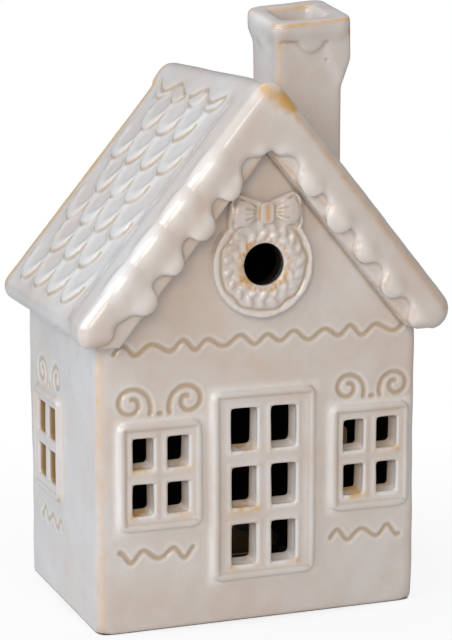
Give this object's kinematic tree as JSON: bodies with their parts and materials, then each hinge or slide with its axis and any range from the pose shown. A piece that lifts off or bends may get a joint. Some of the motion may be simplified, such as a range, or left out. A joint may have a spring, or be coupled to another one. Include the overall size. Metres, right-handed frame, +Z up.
{
  "type": "tealight house",
  "caption": "Glazed stoneware gabled house with pierced windows, a fish-scale roof, dripping icing verge and open chimney; set over a tealight, it glows through its panes.",
  "frame": {"origin": "On the table under the middle of the house: the bottom centre of the whole part's box.", "axes": "+Z is up, -Y is the way the door faces, +X is to the right of someone who faces the door."},
  "size_m": [0.1144, 0.087, 0.1791],
  "materials": {
    "glaze": "glossy off-white reactive glaze that breaks to tan on edges and in grooves",
    "foil": "thin pressed foil",
    "wax": "dark honey-coloured wax",
    "tin": "tinned foot",
    "wick": "waxed cotton"
  },
  "bodies": {
    "tealight": {"tealight_cup": "foil", "wax": "wax", "wick_tab": "tin", "wick": "wick"},
    "house": {"front_wall": "glaze", "back_wall": "glaze", "left_wall": "glaze", "right_wall": "glaze", "left_roof_slope": "glaze", "right_roof_slope": "glaze", "ridge_cap": "glaze", "front_left_bargeboard": "glaze", "front_right_bargeboard": "glaze", "front_left_icing": "glaze", "front_right_icing": "glaze", "chimney_stack": "glaze", "chimney_cap": "glaze", "door_panel": "glaze", "front_left_window": "glaze", "front_right_window": "glaze", "left_side_window": "glaze", "right_side_window": "glaze", "wreath": "glaze", "bow": "glaze"}
  },
  "joints": [
    {"name": "house_lift", "type": "slide", "parent": "tealight", "child": "house", "axis": [0, 0, 1], "range_m": [0, 0.06]}
  ]
}
